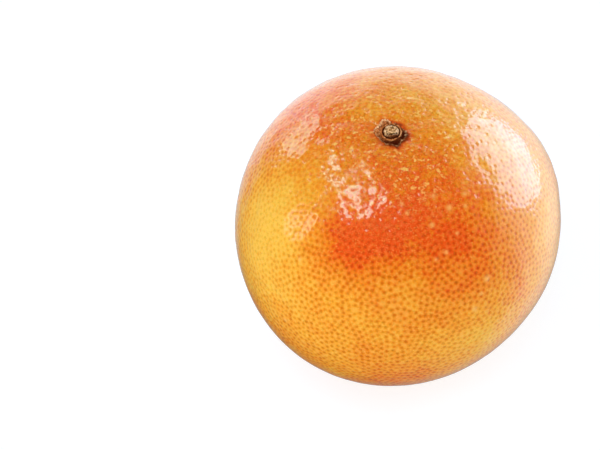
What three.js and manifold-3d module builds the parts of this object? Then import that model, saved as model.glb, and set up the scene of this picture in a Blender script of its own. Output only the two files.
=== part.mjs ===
// A whole grapefruit, in millimetres, standing on its blossom end with the stem end up (+Z).
// The origin is on the surface that it rests on, under the middle of the fruit.
//
// The fruit is one closed body: an oblate spheroid with soft swells and hollows, a flattened shoulder,
// furrows that run into the stem basin, and a peel pitted all over by its oil glands. The pits are drawn
// larger and fewer than life. A dry five-lobed calyx lies in the basin, and the woody stub of the stem
// stands in a plain hole through it.

import * as THREE from "three";
import { mergeVertices } from "three/addons/utils/BufferGeometryUtils.js";
import Module from "manifold-3d";

const wasm = await Module();
wasm.setup();

// ---- Driving dimensions -------------------------------------------------------------------------

const EQUATOR_RADIUS = 52;
const POLAR_RADIUS = 48.8;
const REST_FLAT_RADIUS = 10;
const CENTRE_HEIGHT = POLAR_RADIUS * Math.sqrt(1 - (REST_FLAT_RADIUS / EQUATOR_RADIUS) ** 2);

// Swells (positive height) and hollows (negative), each a soft bump round one direction from the centre:
// azimuth from +X towards +Y and elevation above the equator, in degrees, and its angular half width.
const SWELLS = [
  { azimuth: 20, elevation: 15, height: 1.3, width: 17 },
  { azimuth: 63, elevation: 35, height: -0.4, width: 14 },
  { azimuth: 137, elevation: 28, height: 0.6, width: 24 },
  { azimuth: 234, elevation: -32, height: 1.4, width: 36 },
  { azimuth: 322, elevation: -26, height: -1.1, width: 27 },
  { azimuth: 104, elevation: -50, height: 0.9, width: 26 },
  { azimuth: 40, elevation: -42, height: -0.7, width: 18 },
];

// The stem end
const STEM_X = -1.8;
const SHOULDER = { depth: 0.9, width: 18 };
const BASIN = { depth: 1.5, width: 6.5 };
const FURROWS = { depth: 0.5, from: 3, width: 11 };
const FURROW_AZIMUTHS = [28, 92, 151, 214, 291, 338];
const FURROW_HALF_ANGLE = 13;

// The peel's grid and its oil glands
const PEEL_FREQUENCY = 23;
const STEM_END_CROWDING = 0.45;
const STEM_END_CROWDED_ANGLE = 32;
const PIT_DEPTH = { least: 0.35, most: 0.6 };
const PIT_SPACING = 4.2;
const PIT_CLEAR_OF_STEM = 9;
const PIT_CLEAR_OF_FLOOR = 2.5;
const PIT_SEED = 7;

// The scar of the flower, a shallow dish in the middle of the flat spot
const BLOSSOM_SCAR = { radius: 2.8, depth: 0.5, floorShare: 0.55, roundingSteps: 4, segments: 32 };

// The calyx: a plate with a hole, a raised collar round the hole, and five lobes that lie on the peel
const GAP = 0.3;
const CALYX = { hole: 1.9, collarIn: 2.7, collarOut: 3.25, collarTop: 1.6, floorTop: 0.9, valley: 4.0 };
const COLLAR_RIM = { outerDrop: 0.3, innerDrop: 0.2, footWidth: 0.2 };
const CALYX_SEGMENTS = 72;
const LOBES = [
  { azimuth: 168, reach: 5.6, halfAngle: 27, lift: 0.1 },
  { azimuth: 116, reach: 5.8, halfAngle: 24, lift: 0.3 },
  { azimuth: 250, reach: 4.7, halfAngle: 24, lift: 0.5 },
  { azimuth: 290, reach: 5.5, halfAngle: 24, lift: 0.3 },
  { azimuth: 345, reach: 5.1, halfAngle: 27, lift: 0.5 },
];
const LOBE_THICKNESS = 0.7;
const LOBE_CROWN = 0.1;
const LOBE_LIFT_HALFWAY = 0.25;
const LOBE_EDGE = { under: 0.2, over: 0.25 };
const LOBE_RIBS = { count: 15, height: 0.12 };

// The stub of the stem: a pitted cap inside the collar, on a root that goes down into the fruit
const STUB = { capRadius: 2.4, capTop: 2.15, rootRadius: 1.6, rootDepth: 2.4 };
const STUB_EDGE = { share: 0.95, roundDrop: 0.1, wallDrop: 0.35 };
const STUB_RINGS = [0.86, 0.74, 0.6, 0.46, 0.32, 0.15];
const STUB_SEGMENTS = 66;
const STUB_RIM = { height: 0.22, at: 0.78, width: 0.2, knobs: 11 };
const STUB_HOLLOW = { depth: 0.26, width: 0.42 };

// The socket for the stub's root, cut down into the fruit from above it
const SOCKET = { length: 10, segments: 24 };

// ---- Small helpers ------------------------------------------------------------------------------

const radians = THREE.MathUtils.degToRad;
const bell = (x) => Math.exp(-x * x);

function directionOf({ azimuth, elevation }) {
  const level = Math.cos(radians(elevation));
  return new THREE.Vector3(
    level * Math.cos(radians(azimuth)),
    level * Math.sin(radians(azimuth)),
    Math.sin(radians(elevation)),
  );
}

// The smaller angle between two azimuths, in radians
function azimuthGap(a, b) {
  const gap = Math.abs(a - b) % (2 * Math.PI);
  return Math.min(gap, 2 * Math.PI - gap);
}

function seededRandom(seed) {
  let state = seed;
  return () => {
    state = (state + 0x6d2b79f5) | 0;
    let t = Math.imul(state ^ (state >>> 15), 1 | state);
    t = (t + Math.imul(t ^ (t >>> 7), 61 | t)) ^ t;
    return ((t ^ (t >>> 14)) >>> 0) / 4294967296;
  };
}

function solidOf(geometry) {
  const bare = geometry.clone().deleteAttribute("normal").deleteAttribute("uv");
  const merged = mergeVertices(bare, 1e-4);
  return new wasm.Manifold(
    new wasm.Mesh({
      numProp: 3,
      vertProperties: merged.attributes.position.array,
      triVerts: new Uint32Array(merged.index.array),
    }),
  );
}

function geometryOf(solid) {
  const mesh = solid.getMesh();
  return new THREE.BufferGeometry()
    .setAttribute("position", new THREE.BufferAttribute(mesh.vertProperties, 3))
    .setIndex(new THREE.BufferAttribute(mesh.triVerts, 1));
}

// ---- The shape of the fruit ---------------------------------------------------------------------

const swells = SWELLS.map((swell) => ({ ...swell, towards: directionOf(swell) }));

// How much lower the stem end is than a plain spheroid, at a distance and azimuth from the stem's axis
function stemEndDrop(distance, azimuth) {
  let furrow = 0;
  for (const at of FURROW_AZIMUTHS) {
    furrow += bell(azimuthGap(azimuth, radians(at)) / radians(FURROW_HALF_ANGLE));
  }
  const along = bell((distance - FURROWS.width) / FURROWS.width) * (1 - bell(distance / FURROWS.from));
  return (
    SHOULDER.depth * bell(distance / SHOULDER.width) +
    BASIN.depth * bell(distance / BASIN.width) +
    FURROWS.depth * furrow * along
  );
}

// Distance from the fruit's centre to its smooth surface, along a unit direction
function radiusAlong(direction) {
  const level = Math.hypot(direction.x, direction.y);
  let radius = 1 / Math.hypot(level / EQUATOR_RADIUS, direction.z / POLAR_RADIUS);
  for (const { towards, height, width } of swells) {
    radius += height * bell(direction.angleTo(towards) / radians(width));
  }
  if (direction.z > 0) {
    const x = direction.x * radius - STEM_X;
    const y = direction.y * radius;
    radius -= stemEndDrop(Math.hypot(x, y), Math.atan2(y, x)) * direction.z;
  }
  return radius;
}

// Height of the peel above the resting surface at a distance and azimuth from the stem's axis. Each pass
// brings the height closer to the surface, which it reaches in a few.
const SETTLING_PASSES = 6;
function peelHeight(distance, azimuth) {
  const x = STEM_X + distance * Math.cos(azimuth);
  const y = distance * Math.sin(azimuth);
  const point = new THREE.Vector3(x, y, POLAR_RADIUS);
  for (let pass = 0; pass < SETTLING_PASSES; pass++) {
    const radius = radiusAlong(point.clone().normalize());
    point.z = Math.sqrt(radius * radius - x * x - y * y);
  }
  return CENTRE_HEIGHT + point.z;
}

// ---- The fruit ----------------------------------------------------------------------------------

// An even grid of directions: each face of an icosahedron is cut into rows of small triangles, and the
// corners' weights are bent by a sine so that the triangles stay alike on the sphere.
function evenSphere(frequency) {
  const faces = new THREE.IcosahedronGeometry(1, 0).attributes.position;
  const corner = [0, 1, 2].map(() => new THREE.Vector3());
  const edgeAngle = Math.atan(2);
  const positions = [];
  const place = (row, column) => {
    const weights = [frequency - row, row - column, column];
    const point = new THREE.Vector3();
    weights.forEach((w, k) => {
      point.addScaledVector(corner[k], Math.sin((w / frequency) * edgeAngle));
    });
    positions.push(...point.normalize().toArray());
  };
  for (let face = 0; face < faces.count; face += 3) {
    corner.forEach((c, k) => c.fromBufferAttribute(faces, face + k));
    for (let row = 0; row < frequency; row++) {
      for (let column = 0; column <= row; column++) {
        place(row, column);
        place(row + 1, column);
        place(row + 1, column + 1);
        if (column < row) {
          place(row, column);
          place(row + 1, column + 1);
          place(row, column + 1);
        }
      }
    }
  }
  const sphere = new THREE.BufferGeometry();
  sphere.setAttribute("position", new THREE.Float32BufferAttribute(positions, 3));
  return mergeVertices(sphere, 1e-5);
}

// Draws a direction in towards the stem end, where the form is finer
function crowdToStemEnd(direction) {
  const fromTop = Math.acos(THREE.MathUtils.clamp(direction.z, -1, 1));
  const drawn = fromTop * (1 - STEM_END_CROWDING * bell(fromTop / radians(STEM_END_CROWDED_ANGLE)));
  const level = Math.hypot(direction.x, direction.y) || 1;
  direction.x *= Math.sin(drawn) / level;
  direction.y *= Math.sin(drawn) / level;
  direction.z = Math.cos(drawn);
  return direction;
}

// Picks the grid points that are oil glands: taken in a shuffled order, none close to one before it
function chooseGlands(points) {
  const random = seededRandom(PIT_SEED);
  const order = points.map((_, i) => i);
  for (let i = order.length - 1; i > 0; i--) {
    const j = Math.floor(random() * (i + 1));
    [order[i], order[j]] = [order[j], order[i]];
  }
  const glands = [];
  for (const i of order) {
    const p = points[i];
    if (p.z < PIT_CLEAR_OF_FLOOR) continue;
    if (p.z > CENTRE_HEIGHT && Math.hypot(p.x - STEM_X, p.y) < PIT_CLEAR_OF_STEM) continue;
    if (glands.every((g) => points[g].distanceTo(p) > PIT_SPACING)) glands.push(i);
  }
  return glands;
}

function peelGeometry() {
  const sphere = evenSphere(PEEL_FREQUENCY);
  const grid = sphere.attributes.position;
  const centre = new THREE.Vector3(0, 0, CENTRE_HEIGHT);
  const points = [];
  for (let i = 0; i < grid.count; i++) {
    const direction = crowdToStemEnd(new THREE.Vector3().fromBufferAttribute(grid, i));
    points.push(direction.multiplyScalar(radiusAlong(direction)).add(centre));
  }
  const random = seededRandom(PIT_SEED + 1);
  for (const i of chooseGlands(points)) {
    const outward = points[i].clone().sub(centre).normalize();
    points[i].addScaledVector(outward, -THREE.MathUtils.lerp(PIT_DEPTH.least, PIT_DEPTH.most, random()));
  }
  points.forEach((p, i) => grid.setXYZ(i, p.x, p.y, p.z));
  return sphere;
}

// A dish with round sides and a flat floor, closed at the top, for cutting up into the flat spot
function blossomScarTool() {
  const { radius, depth, floorShare, roundingSteps, segments } = BLOSSOM_SCAR;
  const profile = [new THREE.Vector2(0, -1), new THREE.Vector2(radius, -1)];
  for (let step = 0; step <= roundingSteps; step++) {
    const turn = (step / roundingSteps) * (Math.PI / 2);
    const x = radius * (floorShare + (1 - floorShare) * Math.cos(turn));
    profile.push(new THREE.Vector2(x, depth * Math.sin(turn)));
  }
  profile.push(new THREE.Vector2(0, depth));
  return new THREE.LatheGeometry(profile, segments).rotateX(Math.PI / 2);
}

function fruitGeometry() {
  const room = 4 * EQUATOR_RADIUS;
  const floor = new THREE.BoxGeometry(room, room, room).translate(0, 0, -room / 2);
  const socketFloor = peelHeight(0, 0) - STUB.rootDepth - GAP;
  const socket = new THREE.CylinderGeometry(CALYX.hole, CALYX.hole, SOCKET.length, SOCKET.segments)
    .rotateX(Math.PI / 2)
    .translate(STEM_X, 0, socketFloor + SOCKET.length / 2);
  const trimmed = solidOf(peelGeometry())
    .subtract(solidOf(floor))
    .subtract(solidOf(blossomScarTool()))
    .subtract(solidOf(socket));
  return geometryOf(trimmed);
}

// ---- The calyx ----------------------------------------------------------------------------------

function lobeAt(azimuth) {
  let reach = CALYX.valley;
  let lift = 0;
  for (const lobe of LOBES) {
    const share = bell(azimuthGap(azimuth, radians(lobe.azimuth)) / radians(lobe.halfAngle));
    reach += (lobe.reach - CALYX.valley) * share;
    lift += lobe.lift * share;
  }
  return { reach, lift };
}

// The calyx's section at one azimuth, as [distance from the axis, height], going round it once
function calyxSection(azimuth) {
  const { reach, lift } = lobeAt(azimuth);
  const { hole, collarIn, collarOut, collarTop, floorTop } = CALYX;
  const basin = peelHeight(0, 0);
  const rib = LOBE_RIBS.height * Math.cos(LOBE_RIBS.count * azimuth);
  const crown = LOBE_THICKNESS + LOBE_CROWN;
  const under = (distance) => peelHeight(distance, azimuth) + GAP;
  const middle = (collarOut + reach) / 2;
  const underMiddle = under(middle) + LOBE_LIFT_HALFWAY * lift;
  return [
    [hole, under(hole)],
    [collarOut, under(collarOut)],
    [middle, underMiddle],
    [reach - LOBE_EDGE.under, under(reach) + lift],
    [reach, under(reach) + lift + LOBE_THICKNESS / 2],
    [reach - LOBE_EDGE.over, under(reach) + lift + LOBE_THICKNESS],
    [middle, underMiddle + crown + rib],
    [collarOut + COLLAR_RIM.footWidth, under(collarOut) + crown],
    [collarOut, basin + collarTop - COLLAR_RIM.outerDrop],
    [(collarIn + collarOut) / 2, basin + collarTop],
    [collarIn, basin + collarTop - COLLAR_RIM.innerDrop],
    [collarIn, basin + floorTop],
    [hole, basin + floorTop],
  ];
}

function calyxGeometry() {
  const positions = [];
  const indices = [];
  const count = calyxSection(0).length;
  for (let s = 0; s < CALYX_SEGMENTS; s++) {
    const azimuth = (s / CALYX_SEGMENTS) * 2 * Math.PI;
    for (const [distance, height] of calyxSection(azimuth)) {
      positions.push(STEM_X + distance * Math.cos(azimuth), distance * Math.sin(azimuth), height);
    }
    const next = (s + 1) % CALYX_SEGMENTS;
    for (let k = 0; k < count; k++) {
      const after = (k + 1) % count;
      const [a, b] = [s * count + k, s * count + after];
      const [c, d] = [next * count + k, next * count + after];
      indices.push(a, c, b, b, c, d);
    }
  }
  return new THREE.BufferGeometry()
    .setAttribute("position", new THREE.Float32BufferAttribute(positions, 3))
    .setIndex(indices);
}

// ---- The stub of the stem -----------------------------------------------------------------------

// Relief of the stub's broken end: a raised knobbly rim and a hollow middle
function scarRelief(distance, azimuth) {
  const share = distance / STUB.capRadius;
  const rim = bell((share - STUB_RIM.at) / STUB_RIM.width);
  const knobs = (1 + Math.cos(STUB_RIM.knobs * azimuth)) / 2;
  return STUB_RIM.height * rim * knobs - STUB_HOLLOW.depth * bell(share / STUB_HOLLOW.width);
}

function stubGeometry() {
  const basin = peelHeight(0, 0);
  const { capRadius, capTop, rootRadius, rootDepth } = STUB;
  const capFoot = CALYX.floorTop + GAP;
  const edge = capTop - STUB_EDGE.wallDrop;
  const profile = [
    [0, -rootDepth],
    [rootRadius, -rootDepth],
    [rootRadius, capFoot],
    [capRadius, capFoot],
    [capRadius, edge],
    [capRadius * STUB_EDGE.share, capTop - STUB_EDGE.roundDrop],
    ...STUB_RINGS.map((share) => [capRadius * share, capTop]),
    [0, capTop],
  ].map(([x, y]) => new THREE.Vector2(x, y));
  const stub = new THREE.LatheGeometry(profile, STUB_SEGMENTS).rotateX(Math.PI / 2);
  const at = stub.attributes.position;
  for (let i = 0; i < at.count; i++) {
    if (at.getZ(i) <= edge) continue;
    const distance = Math.hypot(at.getX(i), at.getY(i));
    at.setZ(i, at.getZ(i) + scarRelief(distance, Math.atan2(at.getY(i), at.getX(i))));
  }
  return stub.translate(STEM_X, 0, basin);
}

// ---- The whole ----------------------------------------------------------------------------------

function piece(name, geometry, material) {
  const mesh = new THREE.Mesh(geometry, material);
  mesh.name = name;
  geometry.computeVertexNormals();
  return mesh;
}

const peel = new THREE.MeshStandardMaterial({ color: 0xf29a2e, roughness: 0.38, metalness: 0 });
const dryLobes = new THREE.MeshStandardMaterial({ color: 0x6b4a36, roughness: 0.85, metalness: 0 });
const wood = new THREE.MeshStandardMaterial({ color: 0xb39a72, roughness: 0.8, metalness: 0 });

const grapefruit = new THREE.Group();
grapefruit.add(piece("fruit", fruitGeometry(), peel));
grapefruit.add(piece("calyx", calyxGeometry(), dryLobes));
grapefruit.add(piece("stem_stub", stubGeometry(), wood));

// The swells make the fruit a little lopsided, so it is moved to stand over the origin
const extent = new THREE.Box3().setFromObject(grapefruit);
const middle = extent.getCenter(new THREE.Vector3());
grapefruit.position.set(-middle.x, -middle.y, 0);

export default grapefruit;
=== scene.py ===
"""The looks of a whole grapefruit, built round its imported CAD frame. Blender 4.5, +Z up.

The forms are worked out in millimetres, which become metres when a mesh is made. The fruit and the places
of the calyx's lobes have the CAD part's driving dimensions. The collar, the lobes' edges and the stem's end
have sizes of their own, close to the CAD's. Directions are azimuths from +X towards +Y, and elevations.
"""
import math
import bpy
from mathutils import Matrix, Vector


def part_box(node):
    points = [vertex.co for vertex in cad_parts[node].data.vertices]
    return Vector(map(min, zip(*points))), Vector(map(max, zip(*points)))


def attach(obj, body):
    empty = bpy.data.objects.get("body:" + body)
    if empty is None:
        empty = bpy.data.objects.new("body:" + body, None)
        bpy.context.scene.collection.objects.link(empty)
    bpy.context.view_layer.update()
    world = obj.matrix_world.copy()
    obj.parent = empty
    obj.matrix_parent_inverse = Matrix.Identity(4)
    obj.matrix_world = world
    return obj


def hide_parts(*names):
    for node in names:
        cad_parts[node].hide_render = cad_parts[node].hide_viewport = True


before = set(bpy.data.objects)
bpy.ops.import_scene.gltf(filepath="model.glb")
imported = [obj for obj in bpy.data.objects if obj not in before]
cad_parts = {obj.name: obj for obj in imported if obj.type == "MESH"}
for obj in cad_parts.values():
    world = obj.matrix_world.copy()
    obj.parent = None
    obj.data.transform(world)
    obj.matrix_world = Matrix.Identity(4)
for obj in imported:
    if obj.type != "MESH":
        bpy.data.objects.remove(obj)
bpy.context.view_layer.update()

from types import SimpleNamespace

import bmesh
import bpy
import numpy as np
from mathutils import Matrix, Vector, noise
from mathutils.kdtree import KDTree

MM = 0.001

# ---- The fruit's form, as in the CAD part ----

EQUATOR_RADIUS = 52.0
POLAR_RADIUS = 48.8
REST_FLAT_RADIUS = 10.0
CENTRE_HEIGHT = POLAR_RADIUS * math.sqrt(1 - (REST_FLAT_RADIUS / EQUATOR_RADIUS) ** 2)

# Soft swells (positive height) and hollows: azimuth, elevation, height and angular half width
SWELLS = (
    (20, 15, 1.3, 17),
    (63, 35, -0.4, 14),
    (137, 28, 0.6, 24),
    (234, -32, 1.4, 36),
    (322, -26, -1.1, 27),
    (104, -50, 0.9, 26),
    (40, -42, -0.7, 18),
)

STEM_X = -1.8
SHOULDER_DEPTH, SHOULDER_WIDTH = 0.9, 18.0
BASIN_DEPTH, BASIN_WIDTH = 1.5, 6.5
FURROW_DEPTH, FURROW_FROM, FURROW_WIDTH = 0.5, 3.0, 11.0
FURROW_AZIMUTHS = (28, 92, 151, 214, 291, 338)
FURROW_HALF_ANGLE = 13
BLOSSOM_SCAR_RADIUS, BLOSSOM_SCAR_DEPTH = 2.8, 0.5

# The stem's axis is read from the frame, and the fruit's centre stands beside it
stub_low, stub_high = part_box("stem_stub")
stem_axis = (stub_low + stub_high) / 2
CENTRE = np.array([stem_axis.x / MM - STEM_X, stem_axis.y / MM, CENTRE_HEIGHT])

# ---- The peel's fine form ----

PEEL_FREQUENCY = 99
GLAND_TRIES = 70000
GLAND_SPACING = 1.35
GLAND_REACH = 2.3
GLAND_EASINGS = 10
GLAND_LARGE = (0.85, 1.1)
GLAND_SMALL = (0.6, 0.85)
GLAND_SMALL_SHARE = 0.4
GLAND_NEIGHBOURS = 6
GLAND_PUSH = 0.2
GRID_EASINGS = 3
GRID_EASING = 0.5
PIT_DEPTH = 0.055
PIT_RADIUS = 0.55
PILLOW_HEIGHT = 0.03
PILLOW_REACH = 0.9
PIT_LEAST_WIDTH = 0.6
# Pebbling: size of its bumps, their height and how far from the stem they stand full. The least share of
# it lies all over the fruit, and each kind lies a step further on in the noise.
PEBBLES = ((5.4, 0.34, 42.0), (3.0, 0.16, 38.0), (1.9, 0.06, 20.0))
PEBBLE_LEAST = 0.2
PEBBLE_STEP = 7.3
# How far from the stem the peel's colours and bumps differ from the rest
NEAR_STEM_REACH = 34.0
# Radial wrinkles round the calyx: depth, middle and half width of their ring, then count, share and turn
WRINKLE_DEPTH = 0.09
WRINKLE_MIDDLE, WRINKLE_REACH = 5.2, 4.0
WRINKLES = ((17, 1.0, 0.0), (29, 0.7, 1.3))
# How the fruit lies on its flat: its edge's rounding, the relief pressed away, and the scar's wall
FLOOR_ROUNDING = 0.3
PRESSED_HEIGHT, PRESSED_SHARE = 1.5, 0.7
SCAR_STEEPNESS = 9
SCAR_BELOW = 3.0

# Small pale raised pimples on the side that the photo shows: pixel across and down, height and radius
SEEN_PIMPLES = (
    (486, 278, 0.36, 0.85),
    (474, 308, 0.34, 0.8),
    (481, 293, 0.2, 0.5),
    (446, 252, 0.26, 0.6),
    (432, 225, 0.28, 0.7),
    (449, 208, 0.32, 0.8),
    (407, 213, 0.24, 0.6),
    (300, 259, 0.22, 0.6),
    (286, 320, 0.22, 0.6),
    (464, 194, 0.26, 0.65),
    (464.5, 206, 0.2, 0.55),
    (457, 233, 0.2, 0.5),
    (402, 204, 0.2, 0.55),
    (436, 259, 0.18, 0.5),
    (433, 196, 0.24, 0.7),
)
# More pimples, out of the camera's sight or at its far edge: azimuth, elevation, height and radius
OTHER_PIMPLES = (
    (120, 30, 0.28, 0.75),
    (70, -10, 0.28, 0.7),
    (160, -20, 0.26, 0.7),
    (95, 52, 0.24, 0.6),
    (20, -12, 0.24, 0.65),
    (185, -38, 0.24, 0.65),
)

# ---- The camera's view of the fruit ----

VIEW_ELEVATION = 54.4
VIEW_DISTANCE = 0.62
FOCAL_PIXELS = 1927
FRUIT_PIXEL = (397.2, 224.3)
PHOTO_SIZE = (600, 450)
SENSOR = 36.0

# How often the two searches for the fruit's surface repeat
HEIGHT_STEPS = 6
SIGHT_STEPS = 8

RANDOM = np.random.default_rng(11)


def bell(x):
    return np.exp(-np.square(x))


def direction_of(azimuth, elevation):
    azimuth, elevation = math.radians(azimuth), math.radians(elevation)
    level = math.cos(elevation)
    return np.array([level * math.cos(azimuth), level * math.sin(azimuth), math.sin(elevation)])


def angle_to(directions, azimuth, elevation):
    """Angles in degrees between unit directions and one given by azimuth and elevation."""
    return np.degrees(np.arccos(np.clip(directions @ direction_of(azimuth, elevation), -1, 1)))


def azimuth_gap(azimuths, other):
    """The smaller angle in degrees between azimuths in radians and one in degrees."""
    return np.abs((np.degrees(azimuths) - other + 180) % 360 - 180)


def stem_end_drop(distance, azimuth):
    """How much lower the stem end is than a plain spheroid, by distance and azimuth from the stem."""
    furrows = sum(bell(azimuth_gap(azimuth, at) / FURROW_HALF_ANGLE) for at in FURROW_AZIMUTHS)
    along = bell((distance - FURROW_WIDTH) / FURROW_WIDTH) * (1 - bell(distance / FURROW_FROM))
    shoulder = SHOULDER_DEPTH * bell(distance / SHOULDER_WIDTH)
    basin = BASIN_DEPTH * bell(distance / BASIN_WIDTH)
    return shoulder + basin + FURROW_DEPTH * furrows * along


def stem_polar(points):
    """Distance and azimuth of points from the stem's axis, with the fruit's centre as their origin."""
    x, y = points[:, 0] - STEM_X, points[:, 1]
    return np.hypot(x, y), np.arctan2(y, x)


def radius_along(directions):
    """Distance from the fruit's centre to its smooth surface along unit directions."""
    level = np.hypot(directions[:, 0], directions[:, 1])
    radius = 1 / np.hypot(level / EQUATOR_RADIUS, directions[:, 2] / POLAR_RADIUS)
    for azimuth, elevation, height, width in SWELLS:
        radius += height * bell(angle_to(directions, azimuth, elevation) / width)
    drop = stem_end_drop(*stem_polar(directions * radius[:, None]))
    return radius - drop * np.maximum(directions[:, 2], 0)


def seen_at(x, y):
    """Direction from the fruit's centre to the spot of its surface that shows at a pixel of the photo."""
    back = direction_of(270, VIEW_ELEVATION)
    right = direction_of(0, 0)
    up = np.cross(back, right)
    across, down = x - FRUIT_PIXEL[0], y - FRUIT_PIXEL[1]
    ray = (right * across - up * down) / FOCAL_PIXELS - back
    ray /= np.linalg.norm(ray)
    eye = back * VIEW_DISTANCE / MM
    radius = EQUATOR_RADIUS
    for _ in range(SIGHT_STEPS):
        near = -(eye @ ray) - math.sqrt((eye @ ray) ** 2 - eye @ eye + radius ** 2)
        spot = eye + near * ray
        direction = spot / np.linalg.norm(spot)
        radius = radius_along(direction[None])[0]
    return direction


def peel_height(distance, azimuth):
    """Height of the smooth peel above the floor, by distance and azimuth from the stem's axis."""
    x = STEM_X + distance * np.cos(azimuth)
    y = distance * np.sin(azimuth)
    z = np.full_like(x, POLAR_RADIUS)
    for _ in range(HEIGHT_STEPS):
        points = np.stack([x, y, z], axis=1)
        radius = radius_along(points / np.linalg.norm(points, axis=1)[:, None])
        z = np.sqrt(radius ** 2 - x ** 2 - y ** 2)
    return CENTRE_HEIGHT + z


def noise_at(points, size, offset=0.0):
    """Smooth noise between about -1 and 1, with features of the given size."""
    return np.array([noise.noise(point) for point in points / size + offset])


def layered_noise(points, layers):
    """Noise added up from layers, each by strength, size and place in the noise."""
    return sum(strength * noise_at(points, size, place) for strength, size, place in layers)


def even_azimuths(count):
    return np.arange(count) / count * 2 * math.pi


def points_round(distance, azimuth, height):
    """Points by distance and azimuth in radians from an upright axis, and height."""
    return np.stack([distance * np.cos(azimuth), distance * np.sin(azimuth), height], axis=1)


def tree_of(points):
    tree = KDTree(len(points))
    for i, point in enumerate(points):
        tree.insert(point, i)
    tree.balance()
    return tree


# ---- The calyx's lobes ----

CALYX_VALLEY = 3.9

# Azimuth, reach, half angle, lift of the tip, thickness and darkness. The darkness is partly the husk's own
# colour and partly painted shade on the shaded lobes
LOBES = (
    (168, 5.6, 27, 0.1, 0.5, 0.05),
    (116, 5.8, 24, 0.3, 0.5, 0.3),
    (250, 4.7, 24, 0.5, 0.4, 0.75),
    (290, 5.5, 24, 0.3, 0.45, 1.0),
    (345, 5.1, 27, 0.5, 0.5, 1.0),
)
LOBE_VALLEY = (CALYX_VALLEY, 0.0, 0.35, 0.6)
# A lobe's shape is a mix of a round one and a pointed one
LOBE_ROUNDNESS = 0.6
LOBE_SLOPE = 0.75


def lobes_at(azimuth):
    """Reach, lift, thickness and darkness, partly painted shade, of the calyx at azimuths in radians."""
    values = [np.full_like(azimuth, least) for least in LOBE_VALLEY]
    for centre, reach, half_angle, lift, thickness, dark in LOBES:
        gap = azimuth_gap(azimuth, centre) / half_angle
        pointed = np.maximum(1 - gap * LOBE_SLOPE, 0)
        share = LOBE_ROUNDNESS * bell(gap) + (1 - LOBE_ROUNDNESS) * pointed
        for k, most in enumerate((reach, lift, thickness, dark)):
            values[k] += (most - LOBE_VALLEY[k]) * share
    return values


# ---- Meshes and materials ----


def mesh_object(name, points, faces, attributes):
    """A smooth-shaded object from points in millimetres, with a float or vector value at each point."""
    mesh = bpy.data.meshes.new(name)
    mesh.from_pydata((points * MM).tolist(), [], faces.tolist())
    for key, values in attributes.items():
        kind = "FLOAT_VECTOR" if values.ndim == 2 else "FLOAT"
        slot = "vector" if values.ndim == 2 else "value"
        layer = mesh.attributes.new(key, kind, "POINT")
        layer.data.foreach_set(slot, values.astype(np.float32).ravel())
    mesh.shade_smooth()
    mesh.update()
    thing = bpy.data.objects.new(name, mesh)
    bpy.context.scene.collection.objects.link(thing)
    return thing


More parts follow.
